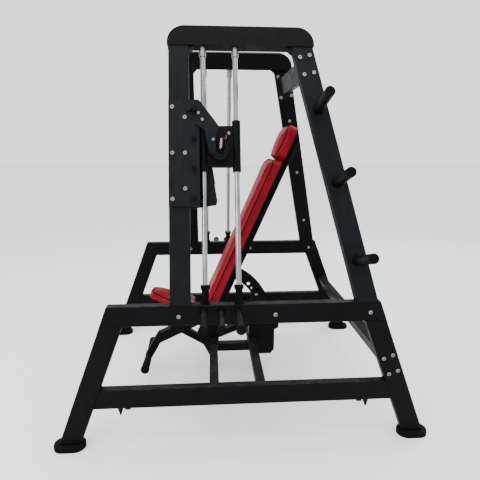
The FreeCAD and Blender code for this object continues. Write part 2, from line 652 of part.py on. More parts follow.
def seat_slab(inset, b0, b1, edge):
    """Seat outline, narrow and round at the front, raised from level b0 to b1."""
    front, rear = -722.0 + inset, -418.0 - inset
    nose, tail = 60.0 - inset, 132.0 - inset
    side = (tail - nose) / (rear - front)
    points = [(front, -nose, 42), (rear, -tail, 30), (rear, tail, 30), (front, nose, 42)]
    flat = Part.Face(outline(points, 0)).extrude(vec(0, b1 - b0, 0))
    if edge:
        flat = flat.makeFillet(edge, [e for e in flat.Edges if e.BoundBox.YLength < 1e-6
                                      and abs(e.BoundBox.YMin - (b1 - b0)) < 1e-6])
    flat.rotate(vec(0, 0, 0), vec(1, 0, 0), 90)
    flat.translate(vec(0, 0, b0))
    flat.rotate(vec(0, 0, 0), vec(0, 1, 0), SEAT_ANGLE)
    return flat


def seat_board():
    return seat_slab(12.0, 305.0, 317.0, 0)


def seat_pad():
    return seat_slab(0.0, 317.0, 375.0, 14.0)


# ---- backrest -----------------------------------------------------------------------------------
def recline(shape):
    """Places a backrest piece modelled upright: z runs up the backrest from its hinge, x runs rearward."""
    shape = shape.copy()
    shape.rotate(vec(0, 0, 0), vec(0, 1, 0), BACK_ANGLE)
    shape.translate(vec(BACK_PIVOT[0], 0, BACK_PIVOT[1]))
    return shape


BACK_TUBE_FRONT, BACK_TUBE_REAR = -20.0, 20.0
BOARD = 12.0


def back_frame():
    """Main tube of the backrest, bored for the hinge pin."""
    low, high = -26.0, 1236.0
    bar = tube(((BACK_TUBE_FRONT, low), (BACK_TUBE_FRONT, high)),
               ((BACK_TUBE_REAR, low), (BACK_TUBE_REAR, high)),
               -BACK_TUBE_HALF, BACK_TUBE_HALF, capped=True)
    return recline(bar.cut(rod_y(0, 0, 10.05, -60, 60)))


def hinge_bush():
    ring = rod_y(0, 0, 16.0, -BACK_TUBE_HALF + WALL, BACK_TUBE_HALF - WALL)
    return recline(ring.cut(rod_y(0, 0, 10.05, -60, 60)))


def adjuster_sector():
    """Arc plate behind the backrest tube, on the centre plane, with the lock holes on one circle."""
    half = PLATE / 2
    arc = rod_y(0, 0, SECTOR_OUTER, -half, half).cut(rod_y(0, 0, SECTOR_INNER, -half, half))
    low = math.radians(10.0 + BACK_ANGLE)
    far = 900.0
    wedge = plate([(0, 0), (far * math.cos(low), far * math.sin(low)), (far, far), (0, far)], -half, half)
    arc = arc.common([wedge]).common(Part.makeBox(far, 2 * far, far, vec(BACK_TUBE_REAR, -far, 0)))
    holes = []
    for i in range(-2, 3):
        angle = math.radians(PIN_ANGLE + HOLE_STEP * i + BACK_ANGLE)
        x, z = HOLE_RADIUS * math.cos(angle), HOLE_RADIUS * math.sin(angle)
        holes.append(rod_y(x, z, LOCK_HOLE_R, -half, half))
    return recline(arc.cut(holes))


def slab(half, low, high, front, rear, corner, edge):
    """Pad or board: width along y, height along z, with rounded corners and a rounded front edge."""
    points = [(-half, low, corner), (half, low, corner), (half, high, corner), (-half, high, corner)]
    solid = plate(points, 0, rear - front)
    if edge:
        solid = solid.makeFillet(edge, [e for e in solid.Edges if e.BoundBox.YLength < 1e-6
                                        and abs(e.BoundBox.YMin) < 1e-6])
    solid.rotate(vec(0, 0, 0), vec(0, 0, 1), -90)
    solid.translate(vec(front, 0, 0))
    return recline(solid)


def back_pad():
    return slab(150.0, 101.0, 1075.0, -98.0, BACK_TUBE_FRONT - BOARD, 45.0, 14.0)


def head_pad():
    return slab(120.0, 1081.0, 1284.0, -94.0, BACK_TUBE_FRONT, 50.0, 24.0)


def back_board():
    """Plywood back of the back pad."""
    return slab(138.0, 113.0, 1063.0, BACK_TUBE_FRONT - BOARD, BACK_TUBE_FRONT, 35.0, 0)


# ---- locking pin, stored pulled out -------------------------------------------------------------
def lock_barrel():
    """Threaded barrel that guides the locking pin, on the right side plate of the adjuster box."""
    x, z = lock_pin_place()
    outer = EAR_Y + PLATE
    return rod_y(x, z, 14.0, outer, outer + 18).cut(rod_y(x, z, LOCK_HOLE_R, outer, outer + 18))


def lock_button():
    """Button-head bolt on the left side plate, in line with the locking pin."""
    x, z = lock_pin_place()
    outer = -EAR_Y - PLATE
    head = rod_y(x, z, 9.0, outer - 5, outer)
    head = head.makeFillet(3.0, [e for e in head.Edges if abs(e.BoundBox.Center.y - outer + 5) < 1e-6
                                 and e.BoundBox.XLength > 10])
    return head.fuse(rod_y(x, z, BOLT_R, outer, outer + PLATE)).removeSplitter()


def lock_pin():
    """Pin with a pull knob. Its nose stands just clear of the arc plate."""
    x, z = lock_pin_place()
    shank = rod_y(x, z, LOCK_PIN_R, PLATE / 2 + 0.5, 84.0)
    knob = rod_y(x, z, 19.0, 84.0, 104.0)
    rims = [e for e in knob.Edges if e.BoundBox.XLength > 30 and e.BoundBox.YLength < 1e-6]
    knob = knob.makeFillet(5.0, rims)
    return shank.fuse(knob).removeSplitter()


# ---- bolts --------------------------------------------------------------------------------------
def leaning_bolt_places():
    """(x, depth, up, outward) for one side frame's leaning part, and the nodes that each goes through."""
    places = []
    for x, up in ((-344, 963), (-283, 912), (-344, 735), (-283, 735), (-283, 560), (-344, 510)):
        places.append((x, -PLATE, up, -1))
    length = math.hypot(1, REAR_UPRIGHT_SLOPE)
    for across in (-25, 25):
        for along in (-46, 46):
            x = rear_upright_centre(UPPER_CROSS_UP) + (across - along * REAR_UPRIGHT_SLOPE) / length
            up = UPPER_CROSS_UP + (along + across * REAR_UPRIGHT_SLOPE) / length
            places.append((x, 0.0, up, -1))
    for across in (-34, 34):
        for along in (-66, 66):
            x = rear_upright_centre(UPPER_CROSS_UP) + (across - along * REAR_UPRIGHT_SLOPE) / length
            up = UPPER_CROSS_UP + (along + across * REAR_UPRIGHT_SLOPE) / length
            places.append((x, TUBE_DEPTH + PLATE, up, 1))
    for up in storage_peg_heights():
        places.append((rear_upright_centre(up), TUBE_DEPTH, up, 1))
    return places


def upright_bolt_places():
    """(x, y, z, outward) for the vertical part of the left side frame."""
    places = []
    centre_x, length = leg_edge(LOWER_CROSS_Z) - LEG_WIDTH / 2, math.hypot(1, LEG_SLOPE)
    for across in (-24, 24):
        for along in (-46, 46):
            x = centre_x + (across - along * LEG_SLOPE) / length
            z = LOWER_CROSS_Z + (along + across * LEG_SLOPE) / length
            places.append((x, -SIDE_Y, z, -1))
    for x in (-321.0, 142.0, 609.0):
        places.append((x, -SIDE_Y, RAIL_TOP - 52, -1))
        places.append((x, -SIDE_Y + TUBE_DEPTH, RAIL_TOP - 52, 1))
    for x in (-105.0, 42.0):
        for z in (240.0, 296.0):
            places.append((x, -SIDE_Y + TUBE_DEPTH + PLATE, z, 1))
    return places


def bolts():
    leaning = [lean(bolt(*place)) for place in leaning_bolt_places()]
    return leaning + [bolt(*place) for place in upright_bolt_places()]


def bolt_holes():
    return ([lean(bolt_shank(*place)) for place in leaning_bolt_places()]
            + [bolt_shank(*place) for place in upright_bolt_places()])


# ---- assembly -----------------------------------------------------------------------------------
def side_nodes():
    """The left side frame, carriage and hook."""
    return {
        "upper_rail": upper_rail(),
        "lower_rail": group(lower_rail()),
        "front_leg": leg(-1),
        "rear_leg": leg(1),
        "front_upright": front_upright(),
        "rear_upright": rear_upright(),
        "top_beam": top_beam(),
        "outer_plate": outer_plate(),
        "inner_plate": inner_plate(),
        "carriage": group(carriage()),
        "linear_bushings": group(linear_bushings()),
        "pivot_flange": pivot_flange(),
        "hook": hook(),
        "plate_sleeve": plate_sleeve(),
        "sleeve_cap": sleeve_cap(),
        "hand_grip": hand_grip(),
    }


def both_sides(solids):
    """One node for pieces that are the same on both side frames."""
    return group([copy for solid in solids for copy in mirrored_pair(solid)])


def shared_nodes():
    """Pieces that repeat on both sides, the cross members and the bench."""
    return {
        "rubber_feet": both_sides([foot(-1), foot(1)]),
        "guide_rods": both_sides(guide_rods()),
        "rod_rings": both_sides(rod_collars() + stop_washers()),
        "rod_bumpers": both_sides(rod_bumpers()),
        "catch_pins": both_sides(catch_pins()),
        "storage_pegs": both_sides(storage_pegs()),
        "band_pegs": both_sides(band_pegs()),
        "frame_bolts": both_sides(bolts()),
        "upper_crossmember": group(upper_crossmember()),
        "lower_crossmember": group(lower_crossmember()),
        "bench_cross_tubes": group(bench_cross_tubes() + bench_end_plates()),
        "bench_beam": bench_beam(),
        "hinge_ears": group(hinge_ears()),
        "bench_pins": group([hinge_pin(), lock_button()]),
        "seat_spine": group([seat_spine()] + seat_post()),
        "bench_braces": group([seat_brace(), bench_strut()]),
        "adjuster_box": group(adjuster_box() + [lock_barrel()]),
        "front_handle": front_handle(),
    }


def bench_nodes():
    """Handle grips, seat, backrest and locking pin."""
    return {
        "front_handle_grips": group(front_handle_grips()),
        "seat_board": seat_board(),
        "seat_pad": seat_pad(),
        "back_frame": group([back_frame(), hinge_bush()]),
        "adjuster_sector": adjuster_sector(),
        "back_board": back_board(),
        "back_pad": back_pad(),
        "head_pad": head_pad(),
        "lock_pin": lock_pin(),
    }


DRILLED_SIDE = ("upper_rail", "lower_rail", "rear_leg", "front_upright", "rear_upright", "outer_plate")
DRILLED_SHARED = ("upper_crossmember", "lower_crossmember", "bench_cross_tubes")


def main():
    os.makedirs("parts", exist_ok=True)
    holes = bolt_holes()
    nodes = {}
    for name, shape in side_nodes().items():
        if name in DRILLED_SIDE:
            shape = shape.cut(holes)
        for side, copy in zip(SIDES, mirrored_pair(shape)):
            nodes[side + "_" + name] = copy
    nodes.update(shared_nodes())
    nodes.update(bench_nodes())
    for name in DRILLED_SHARED:
        nodes[name] = nodes[name].cut([copy for hole in holes for copy in mirrored_pair(hole)])
    for name, shape in nodes.items():
        shape.exportStep("parts/" + name + ".step")
    print(len(nodes), "nodes")


main()
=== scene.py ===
"""Looks for the plate-loaded converging press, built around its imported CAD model."""

import json
import math
import random

import bmesh
import bpy
from mathutils import Matrix, Vector
from mathutils.bvhtree import BVHTree


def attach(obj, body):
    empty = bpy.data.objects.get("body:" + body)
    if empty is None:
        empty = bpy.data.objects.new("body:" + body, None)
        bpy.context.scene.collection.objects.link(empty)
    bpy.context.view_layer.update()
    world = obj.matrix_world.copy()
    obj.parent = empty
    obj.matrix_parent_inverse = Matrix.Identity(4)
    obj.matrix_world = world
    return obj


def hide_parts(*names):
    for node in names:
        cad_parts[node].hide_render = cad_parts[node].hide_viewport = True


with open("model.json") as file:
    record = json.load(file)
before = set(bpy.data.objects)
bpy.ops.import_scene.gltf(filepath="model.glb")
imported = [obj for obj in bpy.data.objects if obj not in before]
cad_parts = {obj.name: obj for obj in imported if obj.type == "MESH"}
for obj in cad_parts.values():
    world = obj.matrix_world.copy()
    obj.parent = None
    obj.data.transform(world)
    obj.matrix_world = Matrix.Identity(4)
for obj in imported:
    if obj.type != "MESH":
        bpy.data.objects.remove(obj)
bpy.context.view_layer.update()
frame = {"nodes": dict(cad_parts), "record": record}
nodes = frame["nodes"]

# ---- frame dimensions, in metres ----------------------------------------------------------------
SIDE_Y, RAIL_TOP = 0.707, 0.750
LEAN = math.radians(17)
BACK = math.radians(24)
BACK_PIVOT = Vector((-0.150, 0.0, 0.400))
SEAT = math.radians(21)
SIDES = (("left", -1), ("right", 1))


def lean_point(x, depth, up, side=-1):
    """Point on a side frame: depth in from its outer face, up along its lean."""
    y = -SIDE_Y + up * math.sin(LEAN) + depth * math.cos(LEAN)
    z = RAIL_TOP + up * math.cos(LEAN) - depth * math.sin(LEAN)
    return Vector((x, -side * y, z))


def back_point(y, out, up):
    """Point on the backrest: out behind its hinge axis, up along the backrest."""
    return BACK_PIVOT + Vector((up * math.sin(BACK) + out * math.cos(BACK), y,
                                up * math.cos(BACK) - out * math.sin(BACK)))


def seat_point(y, along, up):
    return Vector((along * math.cos(SEAT) + up * math.sin(SEAT), y,
                   -along * math.sin(SEAT) + up * math.cos(SEAT)))


# ---- materials ----------------------------------------------------------------------------------
class Look:
    """A node material around one Principled shader."""

    def __init__(self, name, color, roughness, metallic=0.0, specular=0.5):
        self.mat = bpy.data.materials.new(name)
        self.mat.use_nodes = True
        self.tree = self.mat.node_tree
        self.shader = self.tree.nodes["Principled BSDF"]
        self.shader.inputs["Base Color"].default_value = (*color, 1)
        self.shader.inputs["Roughness"].default_value = roughness
        self.shader.inputs["Metallic"].default_value = metallic
        self.shader.inputs["Specular IOR Level"].default_value = specular
        self.coords = self.tree.nodes.new("ShaderNodeTexCoord").outputs["Object"]
        self.normal = None

    def link(self, a, b):
        self.tree.links.new(a, b)

    def stretched(self, scale):
        mapping = self.tree.nodes.new("ShaderNodeMapping")
        mapping.inputs["Scale"].default_value = scale
        self.link(self.coords, mapping.inputs["Vector"])
        return mapping.outputs["Vector"]

    def noise(self, scale, detail=3.0, rough=0.55, coords=None):
        node = self.tree.nodes.new("ShaderNodeTexNoise")
        node.inputs["Scale"].default_value = scale
        node.inputs["Detail"].default_value = detail
        node.inputs["Roughness"].default_value = rough
        self.link(coords or self.coords, node.inputs["Vector"])
        return node.outputs["Fac"]

    def cells(self, scale, coords=None, feature="F1"):
        node = self.tree.nodes.new("ShaderNodeTexVoronoi")
        node.feature = feature
        node.inputs["Scale"].default_value = scale
        self.link(coords or self.coords, node.inputs["Vector"])
        return node.outputs["Distance"]

    def math(self, kind, a, b):
        node = self.tree.nodes.new("ShaderNodeMath")
        node.operation = kind
        for socket, value in zip(node.inputs, (a, b)):
            if isinstance(value, (int, float)):
                socket.default_value = value
            else:
                self.link(value, socket)
        return node.outputs[0]

    def ramp(self, factor, low, high, first, second):
        """Goes from first to second as the factor goes from low to high. Both are numbers or colours."""
        node = self.tree.nodes.new("ShaderNodeMapRange")
        node.inputs["From Min"].default_value = low
        node.inputs["From Max"].default_value = high
        self.link(factor, node.inputs["Value"])
        if isinstance(first, (int, float)):
            node.inputs["To Min"].default_value = first
            node.inputs["To Max"].default_value = second
            return node.outputs["Result"]
        mix = self.tree.nodes.new("ShaderNodeMix")
        mix.data_type = "RGBA"
        self.link(node.outputs["Result"], mix.inputs["Factor"])
        mix.inputs["A"].default_value = (*first, 1)
        mix.inputs["B"].default_value = (*second, 1)
        return mix.outputs["Result"]

    def mix(self, factor, color_socket, color):
        node = self.tree.nodes.new("ShaderNodeMix")
        node.data_type = "RGBA"
        self.link(factor, node.inputs["Factor"])
        self.link(color_socket, node.inputs["A"])
        node.inputs["B"].default_value = (*color, 1)
        return node.outputs["Result"]

    def bevel(self, radius):
        node = self.tree.nodes.new("ShaderNodeBevel")
        node.samples = 4
        node.inputs["Radius"].default_value = radius
        self.normal = node.outputs["Normal"]

    def bump(self, height, strength, distance):
        node = self.tree.nodes.new("ShaderNodeBump")
        node.inputs["Strength"].default_value = strength
        node.inputs["Distance"].default_value = distance
        self.link(height, node.inputs["Height"])
        if self.normal:
            self.link(self.normal, node.inputs["Normal"])
        self.normal = node.outputs["Normal"]

    def upward(self):
        """1 on faces that look up, 0 on the others."""
        geometry = self.tree.nodes.new("ShaderNodeNewGeometry")
        split = self.tree.nodes.new("ShaderNodeSeparateXYZ")
        self.link(geometry.outputs["Normal"], split.inputs[0])
        return self.ramp(split.outputs["Z"], 0.55, 0.95, 0.0, 1.0)

    def done(self, color=None, roughness=None):
        if color:
            self.link(color, self.shader.inputs["Base Color"])
        if roughness:
            self.link(roughness, self.shader.inputs["Roughness"])
        if self.normal:
            self.link(self.normal, self.shader.inputs["Normal"])
        return self.mat


def powder_coat(name, dark, light, dust=(0.030, 0.032, 0.036), specular=0.06):
    """Sprayed satin paint: orange-peel texture, handling marks, and dust on level faces."""
    look = Look(name, dark, 0.5, specular=specular)
    look.bevel(0.0015)
    patches = look.noise(6.0, 4.0)
    streaks = look.noise(3.0, 5.0, coords=look.stretched((14.0, 14.0, 1.5)))
    both = look.math("ADD", look.math("MULTIPLY", patches, 0.5), look.math("MULTIPLY", streaks, 0.5))
    color = look.ramp(both, 0.35, 0.65, dark, light)
    flecks = look.ramp(look.noise(900.0, 2.0), 0.60, 0.75, 0.0, 0.35)
    color = look.mix(flecks, color, tuple(c * 1.8 for c in light))
    lying = look.ramp(look.noise(35.0, 6.0), 0.40, 0.72, 0.05, 0.5)
    settled = look.math("MULTIPLY", look.upward(), lying)
    color = look.mix(settled, color, dust)
    look.bump(look.noise(1400.0, 2.0), 0.10, 0.0004)
    look.bump(look.noise(260.0, 3.0), 0.06, 0.0006)
    roughness = look.ramp(look.noise(22.0, 5.0), 0.3, 0.7, 0.40, 0.58)
    return look.done(color, roughness)


def bright_metal(name, color, rough, grain, streak=(1.0, 1.0, 1.0)):
    """Plated or ground steel with fine drawn streaks and faint tarnish."""
    look = Look(name, color, rough, metallic=1.0)
    drawn = look.noise(grain, 3.0, coords=look.stretched(streak))
    tarnish = look.ramp(look.noise(14.0, 5.0), 0.35, 0.75, color, tuple(c * 0.72 for c in color))
    look.bump(drawn, 0.07, 0.0003)
    return look.done(tarnish, look.ramp(drawn, 0.3, 0.7, rough * 0.8, rough * 1.5))


def rubber(name, shade, grain=700.0):
    look = Look(name, (shade,) * 3, 0.8, specular=0.04)
    worn = (shade * 2.2, shade * 2.2, shade * 2.3)
    color = look.ramp(look.noise(40.0, 5.0), 0.35, 0.7, (shade,) * 3, worn)
    # Painted highlight: every upward face is mixed evenly towards pale grey, as if lit from above.
    color = look.mix(look.math("MULTIPLY", look.upward(), 0.35), color, (0.012, 0.012, 0.012))
    look.bump(look.cells(grain), 0.25, 0.0005)
    return look.done(color, look.ramp(look.noise(60.0, 3.0), 0.3, 0.7, 0.68, 0.9))


def plastic(name, shade):
    look = Look(name, (shade,) * 3, 0.45, specular=0.06)
    look.bevel(0.0012)
    look.bump(look.noise(1100.0, 2.0), 0.18, 0.0003)
    color = look.ramp(look.noise(30.0, 4.0), 0.3, 0.7, (shade,) * 3, (shade * 1.7,) * 3)
    return look.done(color, look.ramp(look.noise(80.0, 3.0), 0.3, 0.7, 0.38, 0.55))


def vinyl(name):
    """Red upholstery vinyl: pebble grain, soft creases, paler rubbed patches and painted shade darkening
    the grain's grooves.
    """
    look = Look(name, (0.09, 0.0005, 0.0028), 0.42, specular=0.09)
    patches = look.noise(9.0, 5.0)
    color = look.ramp(patches, 0.35, 0.7, (0.150, 0.0008, 0.0070), (0.215, 0.0014, 0.0115))
    # Painted shade: the edges of the grain cells are darkened, as shade lying in the grooves.
    groove_shade = look.ramp(look.cells(420.0, feature="DISTANCE_TO_EDGE"), 0.0, 0.10, 0.45, 0.0)
    color = look.mix(groove_shade, color, (0.065, 0.0006, 0.0030))
    look.bump(look.noise(24.0, 4.0, 0.6), 0.22, 0.004)
    look.bump(look.cells(420.0, feature="DISTANCE_TO_EDGE"), 0.30, 0.0007)
    return look.done(color, look.ramp(look.noise(50.0, 4.0), 0.3, 0.7, 0.36, 0.52))


def board_paint(name):
    """Black painted plywood: the grain shows through and the plies show at the edge."""
    look = Look(name, (0.002, 0.002, 0.002), 0.65, specular=0.05)
    grain = look.noise(40.0, 6.0, coords=look.stretched((1.0, 8.0, 1.0)))
    look.bump(grain, 0.25, 0.0008)
    return look.done(look.ramp(grain, 0.3, 0.7, (0.0010, 0.0010, 0.0010), (0.0030, 0.0028, 0.0026)),
                     look.ramp(grain, 0.3, 0.7, 0.55, 0.8))


def floor_paint(name):
    look = Look(name, (0.93, 0.93, 0.93), 0.75, specular=0.2)
    look.bump(look.noise(300.0, 3.0), 0.05, 0.001)
    return look.done(look.ramp(look.noise(1.5, 3.0), 0.3, 0.7, (0.92, 0.92, 0.92), (0.94, 0.94, 0.94)))


LOOKS = {
    "powder_coat": powder_coat("charcoal_powder_coat", (0.0012, 0.0013, 0.0015), (0.0022, 0.0024, 0.0029)),
    "grey_plate": powder_coat("graphite_powder_coat", (0.0044, 0.0051, 0.0060), (0.0080, 0.0092, 0.0106)),
    "flange_paint": powder_coat("flange_grey", (0.0150, 0.0165, 0.0190), (0.0260, 0.0280, 0.0320)),
    "pin_black": powder_coat("peg_black", (0.0009, 0.0009, 0.0011), (0.0018, 0.0018, 0.0022)),
    "rubber": rubber("black_rubber", 0.0018),
    "plastic": plastic("black_plastic", 0.0018),
    "chrome": bright_metal("polished_chrome", (0.30, 0.305, 0.315), 0.12, 60.0, (8.0, 8.0, 0.6)),
    "steel": bright_metal("bright_zinc", (0.24, 0.24, 0.245), 0.30, 300.0),
    "vinyl": vinyl("red_vinyl"),
    "board": board_paint("painted_plywood"),
}
# Painted light: the near uprights and the upper crossmember get a paler copy of the frame's black powder
# coat, standing in for the light their up-tilted faces catch.
PAINTED_LIT_COAT = powder_coat("upright_coat_painted_lit", (0.0036, 0.0045, 0.0055), (0.0068, 0.0080, 0.0096))
WELD = powder_coat("painted_weld", (0.0006, 0.0007, 0.0008), (0.0012, 0.0013, 0.0016))
PIPING = rubber("piping_black", 0.0012, 900.0)
PAINTED_LIT_NODES = ("left_front_upright", "left_rear_upright", "upper_crossmember")

slot_of = {p["node"]: p["material_slot"] for p in frame["record"]["subparts"]}
for name, obj in nodes.items():
    look = PAINTED_LIT_COAT if name in PAINTED_LIT_NODES else LOOKS[slot_of[name]]
    obj.data.materials.clear()
    obj.data.materials.append(look)


# ---- mesh helpers -------------------------------------------------------------------------------
def add_object(name, mesh, material, body):
    obj = bpy.data.objects.new(name, mesh)
    bpy.context.scene.collection.objects.link(obj)
    mesh.materials.clear()
    mesh.materials.append(material)
    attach(obj, body)
    return obj


def tube_mesh(name, paths, radius, sides=10, closed=False, wobble=0.0, seed=1):
    """Tubes along polylines. wobble varies the radius, as the ripples of a weld do."""
    chance = random.Random(seed)
    bm = bmesh.new()
    for path in paths:
        rings = []
        count = len(path)
        for i, point in enumerate(path):
            before = path[i - 1] if (i or closed) else path[0]
            after = path[(i + 1) % count] if (i < count - 1 or closed) else path[-1]
            along = (after - before).normalized()
            if rings:
                last = rings[-1][1]
                side = (last - along * last.dot(along)).normalized()
            else:
                side = along.orthogonal().normalized()
            other = along.cross(side)
            r = radius * (1 + wobble * math.sin(i * 2.1) + wobble * chance.uniform(-0.4, 0.4))
            ring = [bm.verts.new(point + (side * math.cos(a) + other * math.sin(a)) * r)
                    for a in (2 * math.pi * k / sides for k in range(sides))]
            rings.append((ring, side.copy()))
        pairs = list(zip(rings, rings[1:])) + ([(rings[-1], rings[0])] if closed else [])
        for (a, _), (b, _) in pairs:
            for k in range(sides):
                bm.faces.new((a[k], a[(k + 1) % sides], b[(k + 1) % sides], b[k]))
        if not closed:
            bm.faces.new(list(reversed(rings[0][0])))
            bm.faces.new(rings[-1][0])
    bmesh.ops.recalc_face_normals(bm, faces=bm.faces)
    mesh = bpy.data.meshes.new(name)
    bm.to_mesh(mesh)
    bm.free()
    mesh.shade_smooth()
    return mesh


def steps(a, b, pitch=0.004):
    count = max(2, int((b - a).length / pitch))
    return [a.lerp(b, i / count) for i in range(count + 1)]


# ---- pads ---------------------------------------------------------------------------------------
def rounded(points, radii, pitch=0.01):
    """Evenly stepped closed path round a polygon with rounded corners. Points are 2-D vectors."""
    arcs = []
    for i, here in enumerate(points):
        before = (points[i - 1] - here).normalized()
        ahead = (points[(i + 1) % len(points)] - here).normalized()
        half = before.angle(ahead) / 2
        centre = here + (before + ahead).normalized() * (radii[i] / math.sin(half))
        start = here + before * (radii[i] / math.tan(half)) - centre
        sweep = math.pi - 2 * half
        turn = 1 if before.x * ahead.y - before.y * ahead.x < 0 else -1
        count = max(3, int(sweep * radii[i] / pitch))
        arcs.append([centre + Matrix.Rotation(turn * sweep * k / count, 2) @ start
                     for k in range(count + 1)])
    path = []
    for i, arc in enumerate(arcs):
        path += arc
        ahead = arcs[(i + 1) % len(arcs)][0]
        count = max(1, int((ahead - arc[-1]).length / pitch))
        path += [arc[-1].lerp(ahead, k / count) for k in range(1, count)]
    return path


def to_solid(node, name, voxel, shrink):
    """Even mesh of a CAD pad, pulled in a little so that the stuffing can swell it."""
    mesh = nodes[node].data.copy()
    obj = bpy.data.objects.new(name, mesh)
    bpy.context.scene.collection.objects.link(obj)
    weld = obj.modifiers.new("weld", "WELD")
    weld.merge_threshold = 0.00002
    remesh = obj.modifiers.new("remesh", "REMESH")
    remesh.mode = "VOXEL"
    remesh.voxel_size = voxel
    smooth = obj.modifiers.new("smooth", "SMOOTH")
    smooth.factor = 0.5
    smooth.iterations = 3
    inward = obj.modifiers.new("inward", "DISPLACE")
    inward.mid_level = 0.0
    inward.strength = -shrink
    bake(obj)
    return obj


def bake(obj):
    """Applies every modifier."""
    graph = bpy.context.evaluated_depsgraph_get()
    graph.update()
    mesh = bpy.data.meshes.new_from_object(obj.evaluated_get(graph))
    obj.modifiers.clear()
    obj.data = mesh


CLOTH_FRAMES = 20
SWELL_LIMIT = 0.016          # farthest a point of a pad may move from its CAD shape
SWELL_PRESSURE = 4.0
PIPING_R, PIPING_LIFT = 0.0030, 0.0006


def swell(obj, held):
    """Cloth under inner pressure. held tells which points stay on the board."""
    group = obj.vertex_groups.new(name="held")
    start = [v.co.copy() for v in obj.data.vertices]
    group.add([i for i, co in enumerate(start) if held(co)], 1.0, "REPLACE")
    cloth = obj.modifiers.new("cloth", "CLOTH")
    cloth.settings.quality = 6
    cloth.settings.mass = 0.3
    cloth.settings.tension_stiffness = 12
    cloth.settings.compression_stiffness = 12
    cloth.settings.shear_stiffness = 4
    cloth.settings.bending_stiffness = 0.6
    cloth.settings.use_pressure = True
    cloth.settings.uniform_pressure_force = SWELL_PRESSURE
    cloth.settings.vertex_group_mass = "held"
    cloth.settings.effector_weights.gravity = 0
    cloth.point_cache.frame_start = 1
    cloth.point_cache.frame_end = CLOTH_FRAMES
    for step in range(1, CLOTH_FRAMES + 1):
        bpy.context.scene.frame_set(step)
    bake(obj)
    bpy.context.scene.frame_set(1)
    for v, co in zip(obj.data.vertices, start):
        move = v.co - co
        if move.length > SWELL_LIMIT:
            v.co = co + move.normalized() * SWELL_LIMIT
    obj.vertex_groups.clear()


def stretch(obj, direction, low, high):
    """Spreads the pad between two levels along a direction, since the cover shrinks as it swells."""
    levels = [v.co.dot(direction) for v in obj.data.vertices]
    least, most = min(levels), max(levels)
    for v, level in zip(obj.data.vertices, levels):
        v.co += direction * (low + (level - least) * (high - low) / (most - least) - level)


def finish_pad(obj, node, body):
    sub = obj.modifiers.new("subdivision", "SUBSURF")
    sub.levels = sub.render_levels = 1
    obj.data.materials.clear()
    obj.data.materials.append(LOOKS["vinyl"])
    obj.data.shade_smooth()
    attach(obj, body)
    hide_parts(node)


def piping_on(obj, name, path, body):
    """A cord of piping that lies on a pad's skin."""
    graph = bpy.context.evaluated_depsgraph_get()
    tree = BVHTree.FromObject(obj, graph)
    points = []
    for p in path:
        spot, normal, _, _ = tree.find_nearest(p)
        points.append(spot + normal * PIPING_LIFT)
    for _ in range(2):
        points = [(points[i - 1] + points[i] * 2 + points[(i + 1) % len(points)]) / 4
                  for i in range(len(points))]
    add_object(name, tube_mesh(name, [points], PIPING_R, 8, closed=True), PIPING, body)


PADS = {
    "back_pad": dict(body="backrest", half=0.150, low=0.101, high=1.075, front=-0.098, rear=-0.032,
                     corner=0.045, reach=0.005),
    "head_pad": dict(body="backrest", half=0.120, low=1.081, high=1.284, front=-0.094, rear=-0.020,
                     corner=0.050, reach=0.009),
}


def make_back_pads():
    for node, p in PADS.items():
        pad = to_solid(node, "soft_" + node, 0.007, 0.004)
        normal = back_point(0, 1, 0) - back_point(0, 0, 0)
        rear_level = back_point(0, p["rear"], 0).dot(normal) - 0.012
        swell(pad, lambda co: co.dot(normal) > rear_level)
        up = back_point(0, 0, 1) - back_point(0, 0, 0)
        base = back_point(0, 0, 0).dot(up)
        stretch(pad, up, base + p["low"] - p["reach"], base + p["high"] + p["reach"])
        stretch(pad, Vector((0, 1, 0)), -p["half"] - 0.001, p["half"] + 0.001)
        finish_pad(pad, node, p["body"])
        seams = (("front", 0.006, p["front"] + 0.009), ("rear", -0.002, p["rear"] - 0.003))
        for tag, inset, out in seams:
            h, lo, hi = p["half"] - inset, p["low"] + inset, p["high"] - inset
            corners = [Vector((-h, lo)), Vector((h, lo)), Vector((h, hi)), Vector((-h, hi))]
            path = [back_point(q.x, out, q.y) for q in rounded(corners, [p["corner"]] * 4)]
            piping_on(pad, f"{node}_{tag}_piping", path, p["body"])


SEAT_UNDER, SEAT_TOP = 0.317, 0.375      # the seat pad's faces above the row's origin, square to it


def make_seat_pad():
    pad = to_solid("seat_pad", "soft_seat_pad", 0.006, 0.004)
    normal = seat_point(0, 0, 1)
    held_level = SEAT_UNDER + 0.010
    swell(pad, lambda co: co.dot(normal) < held_level)
    finish_pad(pad, "seat_pad", "frame")
    for tag, inset, up in (("top", 0.006, SEAT_TOP - 0.009), ("lower", -0.002, SEAT_UNDER + 0.006)):
        front, rear, nose, tail = -0.722 + inset, -0.418 - inset, 0.060 - inset, 0.132 - inset
        corners = [Vector(c) for c in ((-nose, front), (-tail, rear), (tail, rear), (nose, front))]
        path = [seat_point(q.x, q.y, up) for q in rounded(corners, [0.042, 0.030, 0.030, 0.042])]
        piping_on(pad, f"seat_{tag}_piping", path, "frame")


make_back_pads()
make_seat_pad()


# ---- welds --------------------------------------------------------------------------------------
def leg_x(z):
    return 0.659 + (RAIL_TOP - z) * 0.380


UPRIGHT_TOP = 1.283          # top end of the uprights, along their lean
UPPER_RAIL_UNDER = 0.650
LOW_RAIL_UNDER, LOW_RAIL_TOP = 0.220, 0.320
LEG_WIDTH = 0.107


